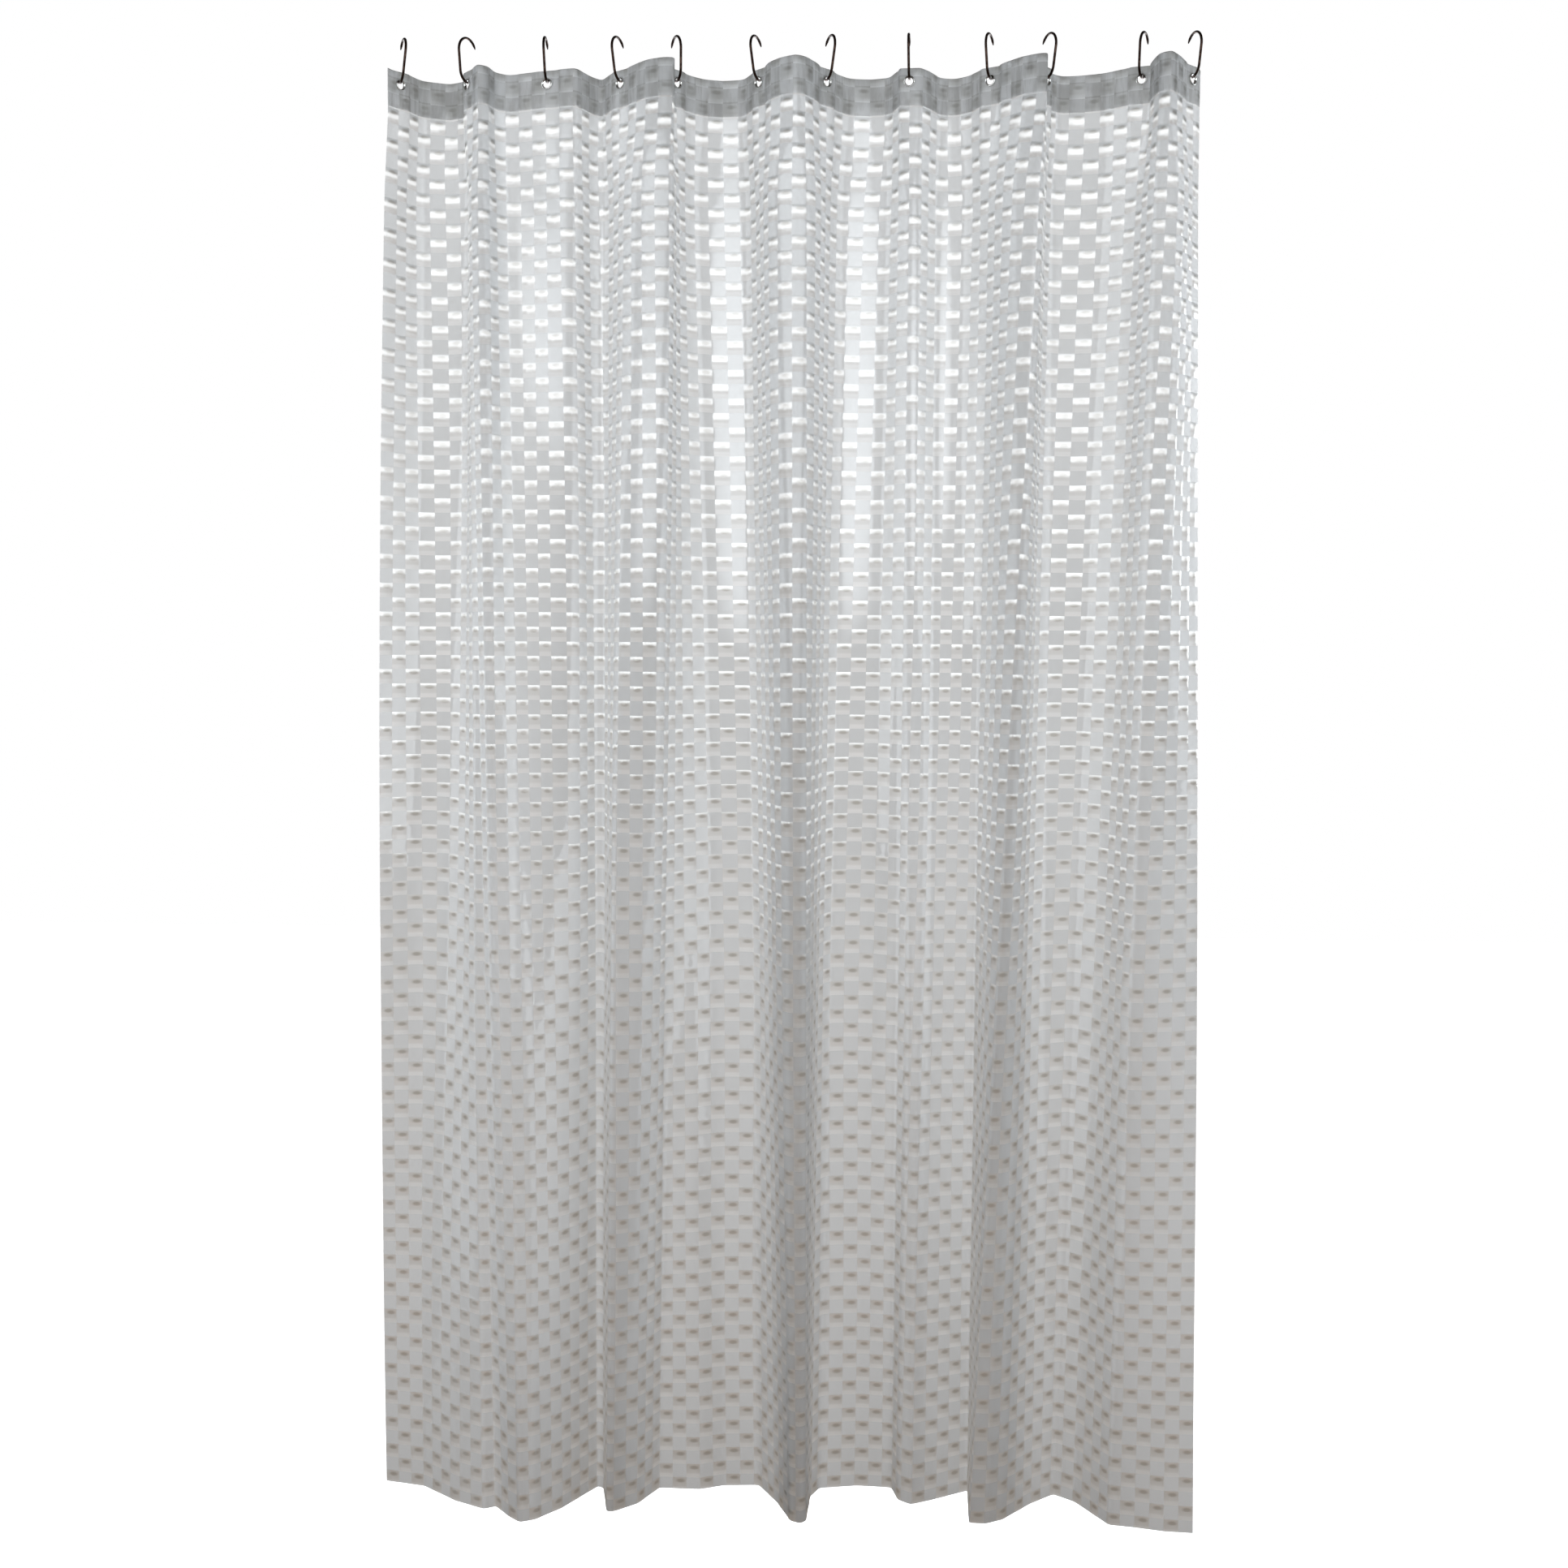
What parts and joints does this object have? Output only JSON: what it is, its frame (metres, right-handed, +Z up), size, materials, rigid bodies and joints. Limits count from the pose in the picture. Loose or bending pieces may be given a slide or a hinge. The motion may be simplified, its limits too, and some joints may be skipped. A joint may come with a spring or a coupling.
{
  "type": "shower curtain",
  "caption": "Frosted vinyl shower curtain with an embossed checkerboard, a folded header with metal eyelets, and open dark wire hooks that ride on a round rod.",
  "frame": {"origin": "on the rod's axis, at the middle of the gathered header", "axes": "+X along the rod, -Y towards the room, +Z up"},
  "size_m": [1.0541, 0.1361, 1.871],
  "materials": {
    "vinyl": "thin frosted translucent vinyl embossed with a checkerboard of lens cells",
    "hook_bronze": "oil-rubbed bronze, satin, on steel wire",
    "eyelet_metal": "bright nickel plate"
  },
  "bodies": {
    "hook_01": {"hook_01": "hook_bronze"},
    "curtain": {"curtain_sheet": "vinyl", "eyelet_01": "eyelet_metal", "washer_01": "eyelet_metal"},
    "hook_02": {"hook_02": "hook_bronze"},
    "eyelet_02": {"eyelet_02": "eyelet_metal", "washer_02": "eyelet_metal"},
    "hook_03": {"hook_03": "hook_bronze"},
    "eyelet_03": {"eyelet_03": "eyelet_metal", "washer_03": "eyelet_metal"},
    "hook_04": {"hook_04": "hook_bronze"},
    "eyelet_04": {"eyelet_04": "eyelet_metal", "washer_04": "eyelet_metal"},
    "hook_05": {"hook_05": "hook_bronze"},
    "eyelet_05": {"eyelet_05": "eyelet_metal", "washer_05": "eyelet_metal"},
    "hook_06": {"hook_06": "hook_bronze"},
    "eyelet_06": {"eyelet_06": "eyelet_metal", "washer_06": "eyelet_metal"},
    "hook_07": {"hook_07": "hook_bronze"},
    "eyelet_07": {"eyelet_07": "eyelet_metal", "washer_07": "eyelet_metal"},
    "hook_08": {"hook_08": "hook_bronze"},
    "eyelet_08": {"eyelet_08": "eyelet_metal", "washer_08": "eyelet_metal"},
    "hook_09": {"hook_09": "hook_bronze"},
    "eyelet_09": {"eyelet_09": "eyelet_metal", "washer_09": "eyelet_metal"},
    "hook_10": {"hook_10": "hook_bronze"},
    "eyelet_10": {"eyelet_10": "eyelet_metal", "washer_10": "eyelet_metal"},
    "hook_11": {"hook_11": "hook_bronze"},
    "eyelet_11": {"eyelet_11": "eyelet_metal", "washer_11": "eyelet_metal"},
    "hook_12": {"hook_12": "hook_bronze"},
    "eyelet_12": {"eyelet_12": "eyelet_metal", "washer_12": "eyelet_metal"}
  },
  "joints": [
    {"name": "curtain_swing", "type": "hinge", "parent": "hook_01", "child": "curtain", "pos_m": [0, 0, -0.0394], "axis": [1, 0, 0], "range_deg": [-15, 15]},
    {"name": "hook_02_glide", "type": "slide", "parent": "hook_01", "child": "hook_02", "axis": [-1, 0, 0], "range_m": [0, 0.0558]},
    {"name": "eyelet_02_glide", "type": "slide", "parent": "curtain", "child": "eyelet_02", "axis": [-1, 0, 0], "range_m": [0, 0.0558]},
    {"name": "hook_03_glide", "type": "slide", "parent": "hook_01", "child": "hook_03", "axis": [-1, 0, 0], "range_m": [0, 0.1209]},
    {"name": "eyelet_03_glide", "type": "slide", "parent": "curtain", "child": "eyelet_03", "axis": [-1, 0, 0], "range_m": [0, 0.1209]},
    {"name": "hook_04_glide", "type": "slide", "parent": "hook_01", "child": "hook_04", "axis": [-1, 0, 0], "range_m": [0, 0.1808]},
    {"name": "eyelet_04_glide", "type": "slide", "parent": "curtain", "child": "eyelet_04", "axis": [-1, 0, 0], "range_m": [0, 0.1808]},
    {"name": "hook_05_glide", "type": "slide", "parent": "hook_01", "child": "hook_05", "axis": [-1, 0, 0], "range_m": [0, 0.2271]},
    {"name": "eyelet_05_glide", "type": "slide", "parent": "curtain", "child": "eyelet_05", "axis": [-1, 0, 0], "range_m": [0, 0.2271]},
    {"name": "hook_06_glide", "type": "slide", "parent": "hook_01", "child": "hook_06", "axis": [-1, 0, 0], "range_m": [0, 0.2935]},
    {"name": "eyelet_06_glide", "type": "slide", "parent": "curtain", "child": "eyelet_06", "axis": [-1, 0, 0], "range_m": [0, 0.2935]},
    {"name": "hook_07_glide", "type": "slide", "parent": "hook_01", "child": "hook_07", "axis": [-1, 0, 0], "range_m": [0, 0.3482]},
    {"name": "eyelet_07_glide", "type": "slide", "parent": "curtain", "child": "eyelet_07", "axis": [-1, 0, 0], "range_m": [0, 0.3482]},
    {"name": "hook_08_glide", "type": "slide", "parent": "hook_01", "child": "hook_08", "axis": [-1, 0, 0], "range_m": [0, 0.4146]},
    {"name": "eyelet_08_glide", "type": "slide", "parent": "curtain", "child": "eyelet_08", "axis": [-1, 0, 0], "range_m": [0, 0.4146]},
    {"name": "hook_09_glide", "type": "slide", "parent": "hook_01", "child": "hook_09", "axis": [-1, 0, 0], "range_m": [0, 0.4797]},
    {"name": "eyelet_09_glide", "type": "slide", "parent": "curtain", "child": "eyelet_09", "axis": [-1, 0, 0], "range_m": [0, 0.4797]},
    {"name": "hook_10_glide", "type": "slide", "parent": "hook_01", "child": "hook_10", "axis": [-1, 0, 0], "range_m": [0, 0.5246]},
    {"name": "eyelet_10_glide", "type": "slide", "parent": "curtain", "child": "eyelet_10", "axis": [-1, 0, 0], "range_m": [0, 0.5246]},
    {"name": "hook_11_glide", "type": "slide", "parent": "hook_01", "child": "hook_11", "axis": [-1, 0, 0], "range_m": [0, 0.6001]},
    {"name": "eyelet_11_glide", "type": "slide", "parent": "curtain", "child": "eyelet_11", "axis": [-1, 0, 0], "range_m": [0, 0.6001]},
    {"name": "curtain_draw", "type": "slide", "parent": "hook_01", "child": "hook_12", "axis": [-1, 0, 0], "range_m": [0, 0.64], "deforming": ["curtain_sheet"]},
    {"name": "eyelet_12_glide", "type": "slide", "parent": "curtain", "child": "eyelet_12", "axis": [-1, 0, 0], "range_m": [0, 0.6405]}
  ],
  "couplings": [
    {"joint": "hook_02_glide", "follows": "curtain_draw", "ratio": 0.08647},
    {"joint": "eyelet_02_glide", "follows": "curtain_draw", "ratio": 0.08647},
    {"joint": "hook_03_glide", "follows": "curtain_draw", "ratio": 0.1882},
    {"joint": "eyelet_03_glide", "follows": "curtain_draw", "ratio": 0.1882},
    {"joint": "hook_04_glide", "follows": "curtain_draw", "ratio": 0.28179},
    {"joint": "eyelet_04_glide", "follows": "curtain_draw", "ratio": 0.28179},
    {"joint": "hook_05_glide", "follows": "curtain_draw", "ratio": 0.35402},
    {"joint": "eyelet_05_glide", "follows": "curtain_draw", "ratio": 0.35402},
    {"joint": "hook_06_glide", "follows": "curtain_draw", "ratio": 0.45778},
    {"joint": "eyelet_06_glide", "follows": "curtain_draw", "ratio": 0.45778},
    {"joint": "hook_07_glide", "follows": "curtain_draw", "ratio": 0.54323},
    {"joint": "eyelet_07_glide", "follows": "curtain_draw", "ratio": 0.54323},
    {"joint": "hook_08_glide", "follows": "curtain_draw", "ratio": 0.647},
    {"joint": "eyelet_08_glide", "follows": "curtain_draw", "ratio": 0.647},
    {"joint": "hook_09_glide", "follows": "curtain_draw", "ratio": 0.74873},
    {"joint": "eyelet_09_glide", "follows": "curtain_draw", "ratio": 0.74873},
    {"joint": "hook_10_glide", "follows": "curtain_draw", "ratio": 0.81892},
    {"joint": "eyelet_10_glide", "follows": "curtain_draw", "ratio": 0.81892},
    {"joint": "hook_11_glide", "follows": "curtain_draw", "ratio": 0.93693},
    {"joint": "eyelet_11_glide", "follows": "curtain_draw", "ratio": 0.93693},
    {"joint": "eyelet_12_glide", "follows": "curtain_draw", "ratio": 1}
  ]
}
